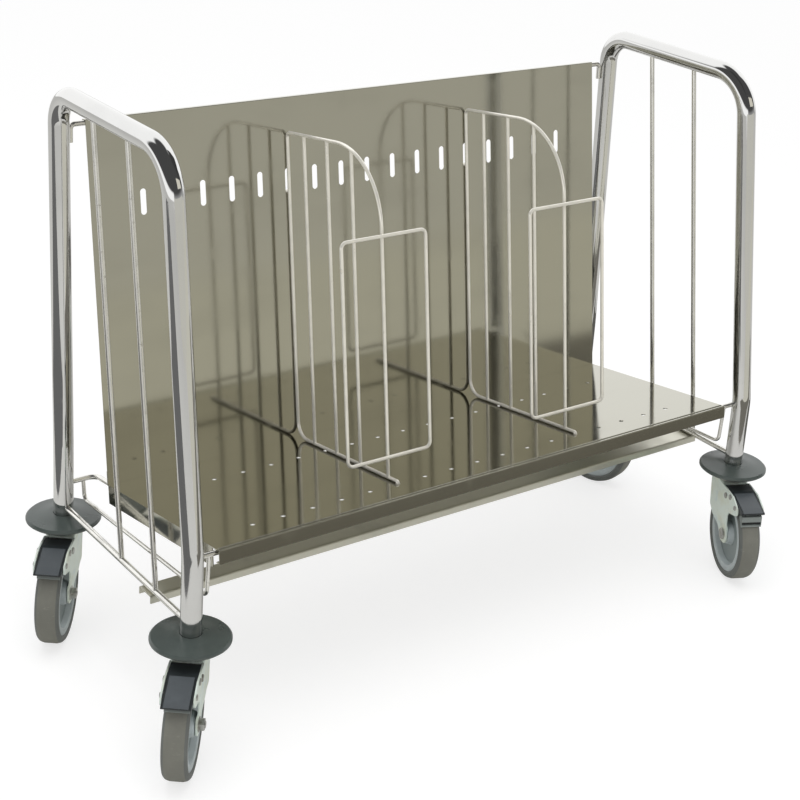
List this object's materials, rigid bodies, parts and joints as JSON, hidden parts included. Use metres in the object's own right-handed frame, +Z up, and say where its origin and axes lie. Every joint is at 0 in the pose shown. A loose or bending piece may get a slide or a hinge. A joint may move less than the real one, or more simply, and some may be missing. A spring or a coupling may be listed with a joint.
{
  "type": "plate dispenser cart",
  "caption": "Wheeled cart for stacked plates: chrome end frames, tilted steel shelf and back panel, lift-out wire dividers, braked swivel casters.",
  "frame": {"origin": "centre of the bounding box's bottom face, on the floor under the cart", "axes": "+X along the cart to the right as seen from the loading side, +Y to the back panel side, +Z up"},
  "size_m": [1.1842, 0.5566, 0.8485],
  "materials": {
    "polished_tube": "mirror-bright",
    "bright_wire": "bright",
    "polished_sheet": "polished",
    "dull_channel": "satin",
    "zinc_plate": "zinc plated, satin",
    "plain_steel": "satin",
    "bumper_rubber": "matt",
    "tyre_rubber": "matt",
    "hub_plastic": "matt",
    "pedal_plastic": "satin",
    "brake_pad": "matt"
  },
  "bodies": {
    "cart_frame": {"left_frame_tube": "polished_tube", "left_frame_bottom_bar": "bright_wire", "left_frame_infill_wires": "bright_wire", "left_shelf_support_rod": "bright_wire", "left_drop_loop": "bright_wire", "right_frame_tube": "polished_tube", "right_frame_bottom_bar": "bright_wire", "right_frame_infill_wires": "bright_wire", "right_shelf_support_rod": "bright_wire", "right_drop_loop": "bright_wire", "stretcher_channel": "dull_channel", "panel_top_rod": "bright_wire", "shelf_tray": "polished_sheet", "back_panel": "polished_sheet", "caster_stems": "plain_steel", "swivel_bearings": "plain_steel", "front_left_bumper_disc": "bumper_rubber", "back_left_bumper_disc": "bumper_rubber", "front_right_bumper_disc": "bumper_rubber", "back_right_bumper_disc": "bumper_rubber"},
    "left_divider": {"left_divider_outline": "bright_wire", "left_divider_uprights": "bright_wire", "left_divider_fence": "bright_wire"},
    "right_divider": {"right_divider_outline": "bright_wire", "right_divider_uprights": "bright_wire", "right_divider_fence": "bright_wire"},
    "front_left_fork": {"front_left_caster_fork": "zinc_plate", "front_left_wheel_axle_bolt": "plain_steel", "front_left_wheel_sleeve": "plain_steel", "front_left_pedal_rivets": "plain_steel"},
    "front_left_wheel": {"front_left_wheel_tyre": "tyre_rubber", "front_left_wheel_hub": "hub_plastic"},
    "front_left_pedal": {"front_left_brake_pedal": "pedal_plastic", "front_left_brake_shoe": "brake_pad"},
    "back_left_fork": {"back_left_caster_fork": "zinc_plate", "back_left_wheel_axle_bolt": "plain_steel", "back_left_wheel_sleeve": "plain_steel", "back_left_pedal_rivets": "plain_steel"},
    "back_left_wheel": {"back_left_wheel_tyre": "tyre_rubber", "back_left_wheel_hub": "hub_plastic"},
    "back_left_pedal": {"back_left_brake_pedal": "pedal_plastic", "back_left_brake_shoe": "brake_pad"},
    "front_right_fork": {"front_right_caster_fork": "zinc_plate", "front_right_wheel_axle_bolt": "plain_steel", "front_right_wheel_sleeve": "plain_steel", "front_right_pedal_rivets": "plain_steel"},
    "front_right_wheel": {"front_right_wheel_tyre": "tyre_rubber", "front_right_wheel_hub": "hub_plastic"},
    "front_right_pedal": {"front_right_brake_pedal": "pedal_plastic", "front_right_brake_shoe": "brake_pad"},
    "back_right_fork": {"back_right_caster_fork": "zinc_plate", "back_right_wheel_axle_bolt": "plain_steel", "back_right_wheel_sleeve": "plain_steel", "back_right_pedal_rivets": "plain_steel"},
    "back_right_wheel": {"back_right_wheel_tyre": "tyre_rubber", "back_right_wheel_hub": "hub_plastic"},
    "back_right_pedal": {"back_right_brake_pedal": "pedal_plastic", "back_right_brake_shoe": "brake_pad"}
  },
  "joints": [
    {"name": "left_divider_lift", "type": "slide", "parent": "cart_frame", "child": "left_divider", "axis": [0, 0.1461, 0.9893], "range_m": [0, 0.03]},
    {"name": "right_divider_lift", "type": "slide", "parent": "cart_frame", "child": "right_divider", "axis": [0, 0.1461, 0.9893], "range_m": [0, 0.03]},
    {"name": "front_left_swivel", "type": "hinge", "parent": "cart_frame", "child": "front_left_fork", "pos_m": [-0.50392, -0.16567, 0.158], "axis": [0, 0, 1], "continuous": true},
    {"name": "front_left_wheel_spin", "type": "hinge", "parent": "front_left_fork", "child": "front_left_wheel", "pos_m": [-0.53224, -0.20064, 0.075], "axis": [0.7771, -0.6293, 0], "continuous": true},
    {"name": "front_left_brake", "type": "hinge", "parent": "front_left_fork", "child": "front_left_pedal", "pos_m": [-0.53161, -0.19986, 0.146], "axis": [-0.7771, 0.6293, 0], "range_deg": [0, 20]},
    {"name": "back_left_swivel", "type": "hinge", "parent": "cart_frame", "child": "back_left_fork", "pos_m": [-0.50392, 0.22233, 0.158], "axis": [0, 0, 1], "continuous": true},
    {"name": "back_left_wheel_spin", "type": "hinge", "parent": "back_left_fork", "child": "back_left_wheel", "pos_m": [-0.53162, 0.18687, 0.075], "axis": [0.788, -0.6157, 0], "continuous": true},
    {"name": "back_left_brake", "type": "hinge", "parent": "back_left_fork", "child": "back_left_pedal", "pos_m": [-0.53101, 0.18766, 0.146], "axis": [-0.788, 0.6157, 0], "range_deg": [0, 20]},
    {"name": "front_right_swivel", "type": "hinge", "parent": "cart_frame", "child": "front_right_fork", "pos_m": [0.53608, -0.16567, 0.158], "axis": [0, 0, 1], "continuous": true},
    {"name": "front_right_wheel_spin", "type": "hinge", "parent": "front_right_fork", "child": "front_right_wheel", "pos_m": [0.51635, -0.20612, 0.075], "axis": [0.8988, -0.4384, 0], "continuous": true},
    {"name": "front_right_brake", "type": "hinge", "parent": "front_right_fork", "child": "front_right_pedal", "pos_m": [0.51679, -0.20522, 0.146], "axis": [-0.8988, 0.4384, 0], "range_deg": [0, 20]},
    {"name": "back_right_swivel", "type": "hinge", "parent": "cart_frame", "child": "back_right_fork", "pos_m": [0.53608, 0.22233, 0.158], "axis": [0, 0, 1], "continuous": true},
    {"name": "back_right_wheel_spin", "type": "hinge", "parent": "back_right_fork", "child": "back_right_wheel", "pos_m": [0.54773, 0.17886, 0.075], "axis": [0.9659, 0.2588, 0], "continuous": true},
    {"name": "back_right_brake", "type": "hinge", "parent": "back_right_fork", "child": "back_right_pedal", "pos_m": [0.54747, 0.17983, 0.146], "axis": [-0.9659, -0.2588, 0], "range_deg": [0, 20]}
  ]
}
